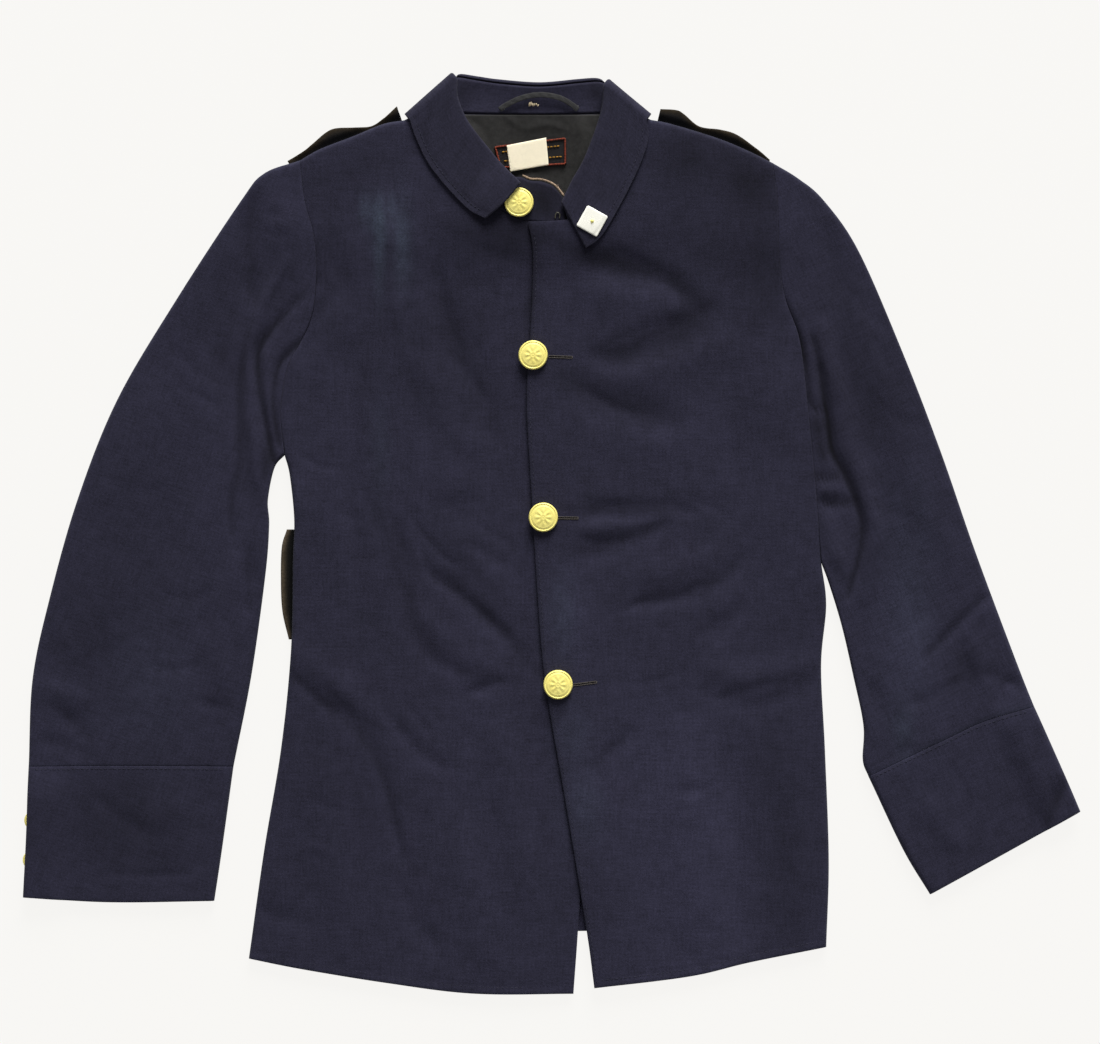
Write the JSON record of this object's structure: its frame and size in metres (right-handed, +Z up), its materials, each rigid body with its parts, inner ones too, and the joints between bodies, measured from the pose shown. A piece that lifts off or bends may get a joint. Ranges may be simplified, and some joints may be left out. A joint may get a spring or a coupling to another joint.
{
  "type": "cadet uniform jacket",
  "caption": "Dark navy wool uniform jacket with a fold-down collar, gilt domed buttons and turned cuffs, buttoned and laid flat on its back.",
  "frame": {"origin": "middle of the jacket's footprint, on the surface that it lies on", "axes": "+X across the chest to the wearer's left sleeve, +Y from the hem to the collar, +Z up, away from the surface"},
  "size_m": [0.8258, 0.7165, 0.0168],
  "materials": {
    "navy_wool": "matt wool twill",
    "navy_wool_collar": "matt wool twill, a little worn",
    "lining": "smooth woven lining",
    "black_cloth": "matt",
    "label": "woven, slightly glossy",
    "white_cloth": "matt",
    "loop_satin": "satin",
    "worn_edging": "matt, worn",
    "badge_white": "satin enamel",
    "gilt_brass": "polished"
  },
  "bodies": {
    "root": {"back": "navy_wool", "front_right": "navy_wool", "front_left": "navy_wool", "sleeve_right": "navy_wool", "sleeve_left": "navy_wool", "cuff_right": "navy_wool", "cuff_left": "navy_wool", "collar_stand": "navy_wool_collar", "collar_leaf": "navy_wool_collar", "band_edge": "worn_edging", "neck_lining": "lining", "label": "label", "name_patch": "white_cloth", "hanger_loop": "loop_satin", "shoulder_strap_right": "black_cloth", "shoulder_strap_left": "black_cloth", "side_tab": "black_cloth", "front_button_1": "gilt_brass", "front_button_2": "gilt_brass", "front_button_3": "gilt_brass", "front_button_4": "gilt_brass", "cuff_button_right_1": "gilt_brass", "cuff_button_right_2": "gilt_brass", "cuff_button_left_1": "gilt_brass", "cuff_button_left_2": "gilt_brass", "collar_badge": "badge_white", "badge_rivet": "gilt_brass", "collar_hook": "gilt_brass"}
  },
  "joints": []
}
